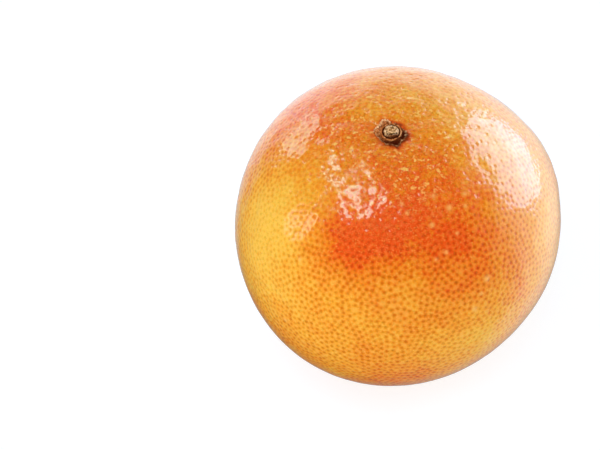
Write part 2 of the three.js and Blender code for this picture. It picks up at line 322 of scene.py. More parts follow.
class Shader:
    """A material with a Principled shader, and short calls for the nodes that feed it."""

    def __init__(self, name, **constants):
        self.material = bpy.data.materials.new(name)
        self.material.use_nodes = True
        self.tree = self.material.node_tree
        self.surface = self.tree.nodes["Principled BSDF"]
        for key, value in constants.items():
            self.surface.inputs[key.replace("_", " ")].default_value = value

    def feed(self, socket, value):
        """Links an output to an input, or sets the input to a constant."""
        if isinstance(value, bpy.types.NodeSocket):
            self.tree.links.new(value, socket)
        elif isinstance(value, tuple) and len(value) == 3 and socket.type == "RGBA":
            socket.default_value = (*value, 1.0)
        else:
            socket.default_value = value

    def attribute(self, name, output="Fac"):
        node = self.tree.nodes.new("ShaderNodeAttribute")
        node.attribute_name = name
        return node.outputs[output]

    def noise(self, size, detail=2.0, roughness=0.5):
        """Noise from 0 to 1, about 0.5, with features of a size in millimetres."""
        place = self.tree.nodes.new("ShaderNodeTexCoord").outputs["Object"]
        node = self.tree.nodes.new("ShaderNodeTexNoise")
        self.feed(node.inputs["Vector"], place)
        self.feed(node.inputs["Scale"], 1 / (size * MM))
        self.feed(node.inputs["Detail"], detail)
        self.feed(node.inputs["Roughness"], roughness)
        return node.outputs["Fac"]

    def math(self, operation, first, *others):
        """Applies an operation to a value and each of the others in turn."""
        result = first
        for other in others:
            node = self.tree.nodes.new("ShaderNodeMath")
            node.operation = operation
            self.feed(node.inputs[0], result)
            self.feed(node.inputs[1], other)
            result = node.outputs[0]
        return result

    def times(self, *factors):
        return self.math("MULTIPLY", *factors)

    def plus(self, *terms):
        return self.math("ADD", *terms)

    def length(self, vector):
        node = self.tree.nodes.new("ShaderNodeVectorMath")
        node.operation = "LENGTH"
        self.feed(node.inputs[0], vector)
        return node.outputs["Value"]

    def span(self, value, low, high, to_low=0.0, to_high=1.0):
        """Takes a value from one range to another, with soft ends."""
        node = self.tree.nodes.new("ShaderNodeMapRange")
        node.interpolation_type = "SMOOTHSTEP"
        for key, number in (
            ("Value", value),
            ("From Min", low),
            ("From Max", high),
            ("To Min", to_low),
            ("To Max", to_high),
        ):
            self.feed(node.inputs[key], number)
        return node.outputs["Result"]

    def mix(self, share, a, b, blend="MIX"):
        node = self.tree.nodes.new("ShaderNodeMix")
        node.data_type = "RGBA"
        node.blend_type = blend
        self.feed(node.inputs["Factor"], share)
        self.feed(node.inputs[6], a)
        self.feed(node.inputs[7], b)
        return node.outputs[2]

    def tint(self, colour, tint):
        """A colour multiplied by another."""
        return self.mix(1.0, colour, tint, "MULTIPLY")

    def ramp(self, value, *stops):
        """Colours along a value, as places from 0 to 1 with their colours."""
        node = self.tree.nodes.new("ShaderNodeValToRGB")
        self.feed(node.inputs["Fac"], value)
        row = node.color_ramp.elements
        row[1].position = stops[-1][0]
        for place, _ in stops[1:-1]:
            row.new(place)
        for element, (place, colour) in zip(row, stops):
            element.position = place
            element.color = (*colour, 1.0)
        return node.outputs["Color"]

    def bump(self, height, distance, strength=1.0, normal=None):
        """Bump whose height input of 1 stands for a distance in millimetres."""
        node = self.tree.nodes.new("ShaderNodeBump")
        self.feed(node.inputs["Strength"], strength)
        self.feed(node.inputs["Distance"], distance * MM)
        self.feed(node.inputs["Height"], height)
        if normal is not None:
            self.feed(node.inputs["Normal"], normal)
        return node.outputs["Normal"]

    def finish(self, colour, roughness, normal):
        self.feed(self.surface.inputs["Base Color"], colour)
        self.feed(self.surface.inputs["Roughness"], roughness)
        self.feed(self.surface.inputs["Normal"], normal)
        return self.material


# ---- The peel ----


def even_sphere(frequency):
    """Unit directions, and triangles, of an icosahedron with each face cut into even small triangles."""
    shape = bmesh.new()
    bmesh.ops.create_icosphere(shape, subdivisions=1, radius=1)
    corners = np.array([vertex.co for vertex in shape.verts])
    faces = [[vertex.index for vertex in face.verts] for face in shape.faces]
    shape.free()
    row, column = np.array([(r, c) for r in range(frequency + 1) for c in range(r + 1)]).T
    weights = np.stack([frequency - row, row - column, column], axis=1)
    edge_angle = math.atan(2)
    bent = np.sin(weights / frequency * edge_angle)
    points = np.concatenate([bent @ corners[face] for face in faces])
    points /= np.linalg.norm(points, axis=1)[:, None]

    def at(r, c):
        return r * (r + 1) // 2 + c

    r, c = row[row < frequency], column[row < frequency]
    upright = np.stack([at(r, c), at(r + 1, c), at(r + 1, c + 1)], axis=1)
    r, c = r[c < r], c[c < r]
    inverted = np.stack([at(r, c), at(r + 1, c + 1), at(r, c + 1)], axis=1)
    patch = np.concatenate([upright, inverted])
    triangles = np.concatenate([patch + k * len(row) for k in range(len(faces))])
    _, first, merged = np.unique(np.round(points, 5), axis=0, return_index=True, return_inverse=True)
    return points[first], merged.ravel()[triangles]


def ease_apart(places):
    """Pushes points on the fruit away from their nearest neighbours, so that they lie more evenly."""
    tree = tree_of(places)
    nearest = [tree.find_n(place, GLAND_NEIGHBOURS + 1)[1:] for place in places]
    near = np.array([[found[1] for found in row] for row in nearest])
    away = places[:, None] - places[near]
    gap = np.linalg.norm(away, axis=2, keepdims=True)
    push = away / gap * np.maximum(GLAND_REACH - gap, 0)
    return places + GLAND_PUSH * push.sum(axis=1)


def scatter_glands():
    """Directions and sizes of the oil glands, scattered evenly but in no pattern."""
    spots = RANDOM.normal(size=(GLAND_TRIES, 3))
    spots /= np.linalg.norm(spots, axis=1)[:, None]
    places = spots * radius_along(spots)[:, None]
    tree = tree_of(places)
    free = np.ones(GLAND_TRIES, bool)
    chosen = []
    for i in range(GLAND_TRIES):
        if free[i]:
            chosen.append(i)
            free[[found[1] for found in tree.find_range(places[i], GLAND_SPACING)]] = False
    glands = places[chosen]
    for _ in range(GLAND_EASINGS):
        glands = ease_apart(glands)
    small = RANDOM.random(len(glands)) < GLAND_SMALL_SHARE
    sizes = np.where(
        small,
        RANDOM.uniform(*GLAND_SMALL, len(glands)),
        RANDOM.uniform(*GLAND_LARGE, len(glands)),
    )
    return glands / np.linalg.norm(glands, axis=1)[:, None], sizes


def pull_to_glands(directions, triangles, glands):
    """Moves the nearest grid point onto each gland, and eases its neighbours along."""
    tree = tree_of(directions)
    pinned = [tree.find(gland)[1] for gland in glands]
    directions[pinned] = glands
    loose = np.ones(len(directions), bool)
    loose[pinned] = False
    a, b = np.concatenate([triangles[:, [0, 1]], triangles[:, [1, 2]], triangles[:, [2, 0]]]).T
    count = np.bincount(a, minlength=len(directions))
    for _ in range(GRID_EASINGS):
        total = [np.bincount(a, directions[b, axis], len(directions)) for axis in range(3)]
        mean = np.stack(total, axis=1) / count[:, None]
        directions[loose] += GRID_EASING * (mean - directions)[loose]
        directions /= np.linalg.norm(directions, axis=1)[:, None]
    return directions


def nearest_gland(points, glands, sizes):
    """For each point, the offset to its nearest gland, its distance and the gland's size."""
    tree = tree_of(glands)
    found = [tree.find(point) for point in points]
    index = np.array([item[1] for item in found])
    return glands[index] - points, np.array([item[2] for item in found]), sizes[index]


def stem_wrinkles(distance, azimuth):
    """Fine radial wrinkles in the peel round the calyx."""
    ring = bell((distance - WRINKLE_MIDDLE) / WRINKLE_REACH)
    waves = sum(share * np.sin(count * azimuth + turn) for count, share, turn in WRINKLES)
    return WRINKLE_DEPTH * ring * waves


def peel_relief(directions, points, gap, size):
    """Height of the peel's fine form above the smooth fruit."""
    distance, azimuth = stem_polar(points)
    upper = directions[:, 2] > 0
    width = PIT_RADIUS * (PIT_LEAST_WIDTH + (1 - PIT_LEAST_WIDTH) * size)
    pits = PIT_DEPTH * size * bell(gap / width)
    relief = PILLOW_HEIGHT * (1 - bell(gap / PILLOW_REACH)) - pits
    for k, (wave, height, reach) in enumerate(PEBBLES):
        near_stem = np.where(upper, bell(distance / reach), 0)
        pebbled = PEBBLE_LEAST + (1 - PEBBLE_LEAST) * near_stem
        relief += height * pebbled * noise_at(points, wave, PEBBLE_STEP * k)
    relief += np.where(upper, stem_wrinkles(distance, azimuth), 0)
    return relief


def pimple_relief(directions):
    """Height of the pimples, and a mask that is 1 at their tops."""
    height = np.zeros(len(directions))
    mask = np.zeros(len(directions))
    places = [(seen_at(x, y), top, radius) for x, y, top, radius in SEEN_PIMPLES]
    places += [(direction_of(*aim), top, radius) for *aim, top, radius in OTHER_PIMPLES]
    for place, top, radius in places:
        angle = np.arccos(np.clip(directions @ place, -1, 1))
        share = bell(angle * EQUATOR_RADIUS / radius)
        height += top * share
        mask = np.maximum(mask, share)
    return height, mask


def stand_on_floor(points, relief_points):
    """Flattens the lowest part softly onto the floor, and dents the flower's scar into it."""
    height = points[:, 2] + CENTRE_HEIGHT
    soft = 0.5 * (height + np.hypot(height, FLOOR_ROUNDING))
    relief = relief_points[:, 2] - points[:, 2]
    pressed = PRESSED_SHARE * bell(height / PRESSED_HEIGHT) * (height < PRESSED_HEIGHT)
    level = np.hypot(points[:, 0], points[:, 1])
    wall = SCAR_STEEPNESS * bell((level / BLOSSOM_SCAR_RADIUS) ** 3)
    scar = BLOSSOM_SCAR_DEPTH * wall / (1 + wall) * (1 + 1 / SCAR_STEEPNESS)
    standing = relief_points.copy()
    standing[:, 2] = soft + relief * (1 - pressed) + np.where(height < SCAR_BELOW, scar, 0) - CENTRE_HEIGHT
    return standing


# How ripe the peel's colour is, from 0, golden, over orange to 1, red: a level for the whole fruit, and
# patches that add to it, each by azimuth, elevation, half width in degrees and strength
RIPENESS = 0.43
RIPE_PATCHES = (
    (205, 30, 24, -0.42),
    (192, 0, 30, -0.08),
    (242, 46, 15, 0.5),
    (272, 54, 14, 0.45),
    (305, 45, 17, 0.46),
    (335, 36, 14, 0.28),
    (262, 77, 22, 0.28),
    (320, 72, 14, 0.15),
    (150, 48, 24, 0.42),
    (172, 24, 12, 0.12),
    (350, 38, 19, -0.24),
    (318, 22, 8, 0.16),
    (185, 66, 12, 0.15),
    (300, 24, 15, 0.22),
    (251, 42, 8, 0.15),
    (342, 14, 14, -0.16),
    (40, 60, 16, -0.14),
    (298, 10, 15, -0.3),
    (270, -16, 14, 0.3),
    (283, 18, 12, 0.12),
    (75, 10, 26, 0.35),
    (120, -15, 24, -0.3),
    (30, -30, 24, -0.2),
    (210, -45, 26, 0.25),
    (322, 33, 9, -0.1),
    (312, 41, 9, -0.1),
    (335, 24, 10, -0.08),
    (302, -2, 12, -0.05),
)
RIPEST = 1.2
# Clouds that break up the patches' edges: strength, size and place in the noise
RIPE_CLOUDS = ((0.12, 9.0, 3.1), (0.08, 3.5, 5.7))

# How browned the peel is round the calyx, and how much painted shade lies there: everywhere, and more on
# two sides, by strength, azimuth and half width. Both begin under the lobes' edges and reach past them.
STAIN_AND_SHADE_EVERYWHERE = 0.5
STAIN_AND_SHADE_SIDES = ((0.45, 320, 60), (0.5, 60, 35))
STAIN_AND_SHADE_REACH, STAIN_AND_SHADE_UNDER = 1.6, 0.3


def ripeness(directions, points):
    """The peel's colour from golden to red at each point, with the patches' edges broken up."""
    ripe = np.full(len(directions), RIPENESS)
    for azimuth, elevation, width, strength in RIPE_PATCHES:
        ripe += strength * bell(angle_to(directions, azimuth, elevation) / width)
    return np.clip(ripe + layered_noise(points, RIPE_CLOUDS), 0, RIPEST)


def calyx_stain_and_shade(directions, points):
    """How browned the peel is close round the calyx, with painted shade under and beside the lobes."""
    distance, azimuth = stem_polar(points)
    reach = lobes_at(azimuth)[0]
    side = STAIN_AND_SHADE_EVERYWHERE
    for strength, middle, width in STAIN_AND_SHADE_SIDES:
        side = side + strength * bell(azimuth_gap(azimuth, middle) / width)
    stain_and_shade = side * bell(np.maximum(distance - reach + STAIN_AND_SHADE_UNDER, 0) / STAIN_AND_SHADE_REACH)
    return np.where(directions[:, 2] > 0, stain_and_shade, 0)


# Colours along the ripeness, and what is mixed into them. A pair is for golden peel and for red.
RIPE_COLOURS = (
    (0.0, (0.96, 0.56, 0.065)),
    (0.36, (0.93, 0.375, 0.022)),
    (0.68, (0.88, 0.23, 0.008)),
    (1.0, (0.86, 0.085, 0.006)),
)
VEIN_COLOUR = (1.0, 0.56, 0.12)
SHADE_TINT = (0.66, 0.6, 0.4)
GLINT_COLOUR = (1.0, 0.54, 0.12)
NET_COLOURS = ((1.0, 0.5, 0.12), (0.98, 0.2, 0.06))
PORE_TINTS = ((0.76, 0.55, 0.1), (0.62, 0.5, 0.1))
FLECK_COLOUR = (1.0, 0.62, 0.14)
PIMPLE_COLOUR = (1.0, 0.56, 0.15)
# A red for the browning round the calyx, and a dark brown that is browning and painted shade
STAIN_AND_SHADE_RED, STAIN_AND_SHADE_BROWN = (0.75, 0.1, 0.012), (0.2, 0.035, 0.008)


def peel_values(shader):
    """What the peel's colour and its normals share: where each spot lies in its gland and on the fruit."""
    gap = shader.attribute("gland_gap")
    size = shader.attribute("gland_size")
    near_stem = shader.attribute("near_stem")
    offset = shader.length(shader.attribute("gland", "Vector"))
    distance = shader.math("MAXIMUM", offset, shader.math("SUBTRACT", gap, 0.12))
    larger = shader.span(size, 0.6, 1.1, 0.5, 1.0)
    calmer = shader.span(near_stem, 0.15, 0.65, 1.0, 0.15)
    return SimpleNamespace(
        gap=gap,
        size=size,
        near_stem=near_stem,
        ripe=shader.attribute("ripe"),
        distance=distance,
        spread=shader.math("DIVIDE", distance, shader.plus(shader.times(size, 0.55), 0.45)),
        strength=shader.times(larger, calmer),
        fleck=shader.math("SUBTRACT", shader.noise(1.5, 3.0, 0.6), 0.5),
    )


def ripe_colour(shader, at):
    """Golden to red, varied by clouds, flecks and specks, and a little riper in each gland."""
    mottle = shader.math("SUBTRACT", shader.noise(4.5, 3.0, 0.6), 0.5)
    speck = shader.math("SUBTRACT", shader.noise(0.6, 2.0, 0.6), 0.5)
    ripe = shader.plus(
        at.ripe,
        shader.times(mottle, 0.45),
        shader.times(at.fleck, shader.span(at.near_stem, 0.15, 0.8, 0.3, 1.5)),
        shader.times(speck, 0.5),
        shader.span(at.spread, 1.1, 0.3, -0.1, 0.1),
    )
    return shader.ramp(ripe, *RIPE_COLOURS)


def add_veins_and_shades(shader, at, red, colour):
    """Fine pale veins, painted shade in random small spots, small painted glints, and a pale net between
    the glands.
    """
    vein = shader.span(shader.noise(0.8, 3.0, 0.7), 0.5, 0.72, 0.0, 0.3)
    vein = shader.times(vein, shader.span(red, 0.0, 1.0, 1.0, 0.25))
    colour = shader.mix(vein, colour, VEIN_COLOUR)
    # Painted shade in random small spots, stronger near the stem
    shade_spots = shader.span(shader.noise(0.6, 2.0, 0.65), 0.52, 0.3)
    shade = shader.times(shade_spots, shader.span(at.near_stem, 0.3, 0.85, 0.5, 0.9))
    colour = shader.mix(shade, colour, shader.tint(colour, SHADE_TINT))
    # Painted glints in random small spots
    glint = shader.span(shader.noise(0.42, 2.0, 0.6), 0.54, 0.74, 0.0, 0.5)
    colour = shader.mix(glint, colour, GLINT_COLOUR)
    net = shader.span(at.gap, 0.7, 1.1, 0.0, 0.25)
    return shader.mix(net, colour, shader.mix(red, *NET_COLOURS))


def add_spots(shader, at, red, colour):
    """Dark dots on the glands, pale flecks near the stem, and pale tops on the pimples."""
    dot = shader.times(shader.span(at.spread, 0.75, 0.17), at.strength)
    dot = shader.times(dot, shader.span(at.ripe, 0.0, 0.4, 0.3, 0.85))
    colour = shader.mix(dot, colour, shader.tint(colour, shader.mix(red, *PORE_TINTS)))
    pale = shader.times(shader.span(at.fleck, 0.03, 0.19), shader.span(at.near_stem, 0.35, 0.85, 0.0, 0.95))
    colour = shader.mix(pale, colour, FLECK_COLOUR)
    return shader.mix(shader.times(shader.attribute("pimple"), 0.75), colour, PIMPLE_COLOUR)


def add_stain_and_shade(shader, at, colour):
    """Redder and then brown close round the calyx: browning, and painted shade under and beside the lobes.
    """
    stain_and_shade = shader.times(shader.attribute("stain_and_shade"), shader.span(at.fleck, -0.15, 0.1, 1.1, 0.6))
    colour = shader.mix(shader.span(stain_and_shade, 0.0, 0.6), colour, STAIN_AND_SHADE_RED)
    return shader.mix(shader.span(stain_and_shade, 0.35, 0.9, 0.0, 0.8), colour, STAIN_AND_SHADE_BROWN)


def peel_normals(shader, at, grain):
    """The peel's own normal, and that of its waxy coat, which has dimples of its own near the stem."""
    pit = shader.times(shader.span(at.spread, 0.85, 0.0, 0.0, -1.0), at.strength)
    pebble = shader.times(shader.noise(1.3, 3.0, 0.6), shader.span(at.near_stem, 0.5, 0.95, 0.25, 1.0))
    dimple = shader.times(
        shader.span(at.distance, 1.0, 0.1, 0.0, -1.0),
        shader.span(at.size, 0.98, 1.03),
        shader.span(at.near_stem, 0.2, 0.55),
    )
    normal = shader.bump(pit, 0.06)
    normal = shader.bump(pebble, 0.14, 0.9, normal)
    normal = shader.bump(grain, 0.012, 0.6, normal)
    coat = shader.bump(pit, 0.03)
    coat = shader.bump(dimple, 0.14, 1.0, coat)
    coat = shader.bump(pebble, 0.115, 0.9, coat)
    coat = shader.bump(grain, 0.012, 0.6, coat)
    return normal, coat


def peel_material():
    """Glossy citrus peel: golden to orange to red, with darker sunken oil glands."""
    shader = Shader(
        "peel",
        Subsurface_Weight=0.12,
        Subsurface_Scale=0.0012,
        Subsurface_Radius=(1.0, 0.4, 0.12),
        IOR=1.4,
        Specular_IOR_Level=0.05,
        Coat_Weight=1.0,
        Coat_Roughness=0.05,
        Coat_IOR=1.5,
    )
    at = peel_values(shader)
    red = shader.span(at.ripe, 0.45, 0.95)
    colour = add_veins_and_shades(shader, at, red, ripe_colour(shader, at))
    colour = add_stain_and_shade(shader, at, add_spots(shader, at, red, colour))
    grain = shader.noise(0.38, 2.0, 0.6)
    normal, coat_normal = peel_normals(shader, at, grain)
    shader.feed(shader.surface.inputs["Coat Normal"], coat_normal)
    return shader.finish(colour, shader.span(grain, 0.2, 0.8, 0.3, 0.42), normal)


def make_peel():
    directions, triangles = even_sphere(PEEL_FREQUENCY)
    gland_directions, sizes = scatter_glands()
    directions = pull_to_glands(directions, triangles, gland_directions)
    smooth = directions * radius_along(directions)[:, None]
    glands = gland_directions * radius_along(gland_directions)[:, None]
    offset, gap, size = nearest_gland(smooth, glands, sizes)
    pimple_height, pimple = pimple_relief(directions)
    relief = peel_relief(directions, smooth, gap, size) + pimple_height
    points = stand_on_floor(smooth, smooth + directions * relief[:, None])
    distance, _ = stem_polar(smooth)
    attributes = {
        "gland": offset,
        "gland_gap": gap,
        "gland_size": size,
        "ripe": ripeness(directions, smooth),
        "near_stem": np.where(directions[:, 2] > 0, bell(distance / NEAR_STEM_REACH), 0),
        "pimple": pimple,
        "stain_and_shade": calyx_stain_and_shade(directions, smooth),
    }
    peel = mesh_object("peel", points + CENTRE, triangles, attributes)
    peel.data.materials.append(peel_material())
    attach(peel, "root")
    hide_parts("fruit")


make_peel()

# ---- The calyx ----

BASIN_HEIGHT = float(peel_height(np.zeros(1), np.zeros(1))[0])
COLLAR_IN, COLLAR_OUT, COLLAR_TOP, COLLAR_FLOOR = 2.72, 3.2, 1.6, 0.9
CALYX_HOLE = 1.9
CALYX_SEGMENTS = 320
CALYX_SUNK = 0.12
CALYX_UNDERSIDE = 0.3
# The calyx and the stem's end are measured from this point of the floor, straight below the stem
STEM_BASE = np.array([CENTRE[0] + STEM_X, CENTRE[1], 0])

# Beads on the calyx, which get painted glints: azimuth and distance
BEADS = (
    (96, 4.3), (104, 4.7), (112, 5.1), (121, 5.1), (130, 4.7), (139, 4.5),
    (149, 4.7), (159, 5.0), (346, 4.4), (2, 4.3), (316, 4.5),
)
BEAD_RADIUS, BEAD_HEIGHT = 0.38, 0.4
CALYX_RIBS, CALYX_RIB_HEIGHT, CALYX_RIB_TWIST = 19, 0.14, 2.5
CALYX_ROUGHNESS = 0.16
# Unevenness of the calyx, in layers of noise along a circle, and of its surface, in space
RING_SIZE = 10
REACH_NOISE = ((0.3, 1.5, 4.0), (0.25, 0.5, 9.0))
LIFT_NOISE = ((0.25, 1.7, 8.0),)
COLLAR_WOBBLE = ((0.2, 2.6, 1.0),)
COLLAR_CHIPS = ((0.35, 3.0, 2.0), (0.15, 0.9, 5.0))
RISE_NOISE = ((0.65, 0.8, 2.0), (0.35, 0.35, 6.0))

# Where the collar's rim is palest, a painted highlight: azimuth and half width
HIGHLIT_RIM_AZIMUTH, HIGHLIT_RIM_WIDTH = 345, 60

# Husk colours: the ridge, edge and bead colours are partly painted highlight, and the dark and crease
# colours partly painted shade
HUSK_BROWN, HUSK_TAN = (0.34, 0.075, 0.012), (0.95, 0.32, 0.09)
HUSK_RIDGE_HIGHLIGHT = (1.0, 0.5, 0.2)
HUSK_DARK_AND_SHADE = (0.07, 0.008, 0.002)
HUSK_EDGE_AND_HIGHLIGHT = (1.0, 0.54, 0.25)
HUSK_CREASE_SHADE = (0.06, 0.01, 0.002)
BEAD_GLINT_COLOUR = (1.0, 0.62, 0.32)


def round_off(outline, passes):
    """Cuts the corners of closed outlines, whose points run along the second axis."""
    near, far = 0.75, 0.25
    for _ in range(passes):
        after = np.roll(outline, -1, axis=1)
        cut = np.stack([near * outline + far * after, far * outline + near * after], axis=2)
        outline = cut.reshape(len(outline), -1, outline.shape[2])
    return outline


def calyx_outline(azimuth):
    """The calyx's closed section at each azimuth: distance, height, paleness, which is partly painted
    highlight, and darkness, which is partly painted shade.
    """
    reach, lift, thickness, dark = lobes_at(azimuth)
    ring = points_round(RING_SIZE, azimuth, np.zeros_like(azimuth))
    reach = np.maximum(reach + layered_noise(ring, REACH_NOISE), COLLAR_OUT + 0.35)
    lift = lift + 0.18 + layered_noise(ring, LIFT_NOISE)
    wobble = layered_noise(ring, COLLAR_WOBBLE)
    chips = layered_noise(ring, COLLAR_CHIPS)
    middle = (COLLAR_OUT + reach) / 2
    # The collar's rim is paler all round and most on one side: partly painted highlight
    rim = 0.2 + 0.65 * bell(azimuth_gap(azimuth, HIGHLIT_RIM_AZIMUTH) / HIGHLIT_RIM_WIDTH)

    def under(distance):
        return peel_height(distance, azimuth) - CALYX_SUNK

    # From the hole out along the underside, round the lobes' edge, and back over the collar to the hole
    # The darkness is painted shade underneath and inside the collar, and partly painted shade on the lobes
    # and the collar's outside
    rows = (
        (CALYX_HOLE, under(np.full_like(azimuth, CALYX_HOLE)), 0.0, 1.0),
        (COLLAR_OUT, under(np.full_like(azimuth, COLLAR_OUT)), 0.0, 1.0),
        (middle, under(middle) + 0.25 * lift, 0.0, 1.0),
        (reach - 0.15, under(reach) + lift, 0.0, 1.0),
        (reach, under(reach) + lift + CALYX_SUNK, 0.6, dark),
        (reach - 0.1, under(reach) + lift + CALYX_SUNK + 0.7 * thickness, 1.0, dark * 0.7),
        (middle + 0.2, under(middle) + 0.3 * lift + CALYX_SUNK + thickness, 0.25, dark),
        (COLLAR_OUT + 0.3, under(middle) + CALYX_SUNK + thickness * 0.9, 0.0, 0.3 + 0.65 * dark),
        (COLLAR_OUT + 0.02, BASIN_HEIGHT + COLLAR_TOP - 0.45, 0.3, 0.3 + 0.45 * dark),
        (COLLAR_OUT - 0.08 + wobble, BASIN_HEIGHT + COLLAR_TOP - 0.08 + chips, rim, 0.0),
        (COLLAR_IN + 0.12 + wobble, BASIN_HEIGHT + COLLAR_TOP + chips, 0.9 * rim, 0.1),
        (COLLAR_IN, BASIN_HEIGHT + COLLAR_TOP - 0.3, 0.1, 0.8),
        (COLLAR_IN - 0.05, BASIN_HEIGHT + COLLAR_FLOOR, 0.0, 1.0),
        (CALYX_HOLE, BASIN_HEIGHT + COLLAR_FLOOR, 0.0, 1.0),
    )
    columns = [np.stack([value + np.zeros_like(azimuth) for value in row], axis=1) for row in rows]
    return round_off(np.stack(columns, axis=1), passes=3)


def calyx_relief(distance, azimuth):
    """Height of the ribs and beads on the calyx's upper side, and a mask of the beads."""
    outer = np.clip((distance - COLLAR_OUT) / 0.8, 0, 1)
    ribs = CALYX_RIB_HEIGHT * np.sin(CALYX_RIBS * azimuth + CALYX_RIB_TWIST * distance) * outer
    beads = np.zeros_like(distance)
    for centre, place in BEADS:
        across = np.radians(azimuth_gap(azimuth, centre)) * distance
        beads = np.maximum(beads, bell(np.hypot(across, distance - place) / BEAD_RADIUS))
    return ribs + BEAD_HEIGHT * beads, beads


def closed_rings(rows, columns):
    """Triangles of a grid of points that closes on itself both ways."""
    row, column = np.divmod(np.arange(rows * columns), columns)
    below = (row + 1) % rows * columns
    beside = (column + 1) % columns
    a, b = row * columns + column, row * columns + beside
    c, d = below + column, below + beside
    return np.concatenate([np.stack([a, c, b], axis=1), np.stack([b, c, d], axis=1)])


def calyx_material():
    """Dry brown husk with painted light and shade: paler along its edges and on the collar's rim, partly as
    painted highlight; painted highlights on its ridges and beads; painted shade in its creases, underneath,
    inside the collar and on the shaded lobes.
    """
    shader = Shader("calyx", Specular_IOR_Level=0.0)
    pale = shader.attribute("pale")
    dark = shader.attribute("dark")
    bead = shader.attribute("bead")
    rise = shader.attribute("rise")
    fibre = shader.noise(0.35, 3.0, 0.7)
    patch = shader.noise(1.1, 2.0, 0.6)
    husk = shader.mix(patch, HUSK_BROWN, HUSK_TAN)
    # Paler on the raised spots of the relief: painted highlight
    husk = shader.mix(shader.span(rise, 0.0, 0.6, 0.0, 0.7), husk, HUSK_RIDGE_HIGHLIGHT)
    # Darker where the darkness mask is: the husk's own dark colour and painted shade
    colour = shader.mix(shader.span(dark, 0.15, 0.95), husk, HUSK_DARK_AND_SHADE)
    # Paler along the lobes' edges and the collar's rim: partly the husk's own colour, partly painted
    # highlight
    edge = shader.times(shader.span(pale, 0.35, 1.0), shader.span(patch, 0.34, 0.54))
    edge = shader.times(edge, shader.span(dark, 0.3, 0.7, 1.0, 0.25))
    colour = shader.mix(edge, colour, HUSK_EDGE_AND_HIGHLIGHT)
    # Darker in the fibres' low creases and the relief's low spots: painted shade
    crease_shade = shader.math("MAXIMUM", shader.span(fibre, 0.55, 0.32), shader.span(rise, -0.1, -0.7))
    colour = shader.mix(shader.times(crease_shade, 0.8), colour, HUSK_CREASE_SHADE)
    # Painted glints on the beads, weaker on the shaded lobes
    bright = shader.times(shader.span(bead, 0.3, 0.75), shader.span(dark, 0.3, 0.8, 1.0, 0.4))
    colour = shader.mix(bright, colour, BEAD_GLINT_COLOUR)
    normal = shader.bump(fibre, 0.15, 0.9)
    return shader.finish(colour, shader.span(fibre, 0.2, 0.8, 0.32, 0.6), normal)


def make_calyx():
    azimuths = even_azimuths(CALYX_SEGMENTS)
    outline = calyx_outline(azimuths)
    rows, columns = outline.shape[:2]
    distance, height, pale, dark = outline.reshape(-1, 4).T
    azimuth = np.repeat(azimuths, columns)
    upper = np.tile(np.linspace(0, 1, columns), rows) > CALYX_UNDERSIDE
    relief, bead = calyx_relief(distance, azimuth)
    points = points_round(distance, azimuth, height)
    rise = layered_noise(points, RISE_NOISE)
    rough = CALYX_ROUGHNESS * rise
    points[:, 2] += np.where(upper, relief + rough, 0)
    points[:, :2] *= (1 + rough / 3)[:, None]
    attributes = {"pale": pale, "dark": dark, "rise": 2 * rise, "bead": np.where(upper, bead, 0)}
    calyx = mesh_object("dry_calyx", points + STEM_BASE, closed_rings(rows, columns), attributes)
    calyx.data.materials.append(calyx_material())
    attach(calyx, "root")
    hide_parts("calyx")


# ---- The end of the stem ----

STEM_RADIUS, STEM_TOP, STEM_FOOT = 2.36, 2.05, 1.0
STEM_OVAL = 0.92
STEM_ROOT_RADIUS, STEM_ROOT_DEPTH = 1.6, 2.2
# The broken end's rim, as shares of the radius, how far its edge drops, and how deep its relief reaches
STEM_RIM, STEM_RIM_WIDTH = 0.78, 0.2
STEM_EDGE_DROP, STEM_TOP_DEPTH = 0.5, 0.6
STEM_TAPER = 0.25
# Bulges and fine flutes round the stem's side
STEM_BULGE, STEM_BULGES, STEM_SWAYS, STEM_BULGE_TURN = 0.1, 5, 2, 0.6
STEM_FLUTES, STEM_FLUTE_HEIGHT = 17, 0.05
STEM_SEGMENTS, STEM_RINGS = 200, 60
STEM_SIDE_RINGS = 16
STEM_ROUGHNESS = 0.08
# The lower side of the stem's end, which gets painted shade: azimuth and half width
LOW_SIDE_AZIMUTH, LOW_SIDE_WIDTH = 282, 62
# Where the painted shade on the top begins and fades in, and its strength on the top and all round the side
# wall
SHADED_FROM, SHADED_FADE = 1.75, 0.4
SHADED_TOP, SHADED_WALL = 0.95, 0.9
# The dark ring round the wood's middle, and its least share away from the low side
DARK_RING, DARK_RING_WIDTH, DARK_RING_LEAST = 1.2, 0.45, 0.4
# Where the broken wood's rim stands full: strength, azimuth and half width
FULL_RIM = ((0.6, 100, 45), (1.0, 340, 50))
BROKEN_NOISE = ((0.6, 0.55, 3.3), (0.35, 0.2, 8.1))
RIM_HEIGHT, HOLLOW_DEPTH, HOLLOW_WIDTH = 0.3, 0.24, 0.45
KNOB_LEAST, KNOB_FULL, RIM_LEAST = 0.25, 0.55, 0.35

# The rim's colour is partly painted highlight; the lower side's and the creases' colours are painted shade
WOOD_TAN, WOOD_PALE = (0.4, 0.17, 0.045), (1.0, 0.64, 0.32)
WOOD_RING = (0.2, 0.09, 0.02)
WOOD_RIM_AND_HIGHLIGHT = (1.0, 0.7, 0.42)
WOOD_SHADE = (0.14, 0.022, 0.004)
WOOD_CREASE_SHADE = (0.16, 0.05, 0.01)
WOOD_PIT = (0.03, 0.007, 0.002)

# Pits in the broken wood: azimuth, distance, radius and depth
WOOD_PITS = (
    (232, 1.75, 0.26, 0.3),
    (254, 1.5, 0.3, 0.36),
    (276, 1.45, 0.3, 0.36),
    (303, 1.6, 0.28, 0.3),
    (322, 1.9, 0.22, 0.24),
    (200, 1.5, 0.2, 0.16),
    (70, 1.25, 0.18, 0.14),
    (15, 1.5, 0.18, 0.14),
)


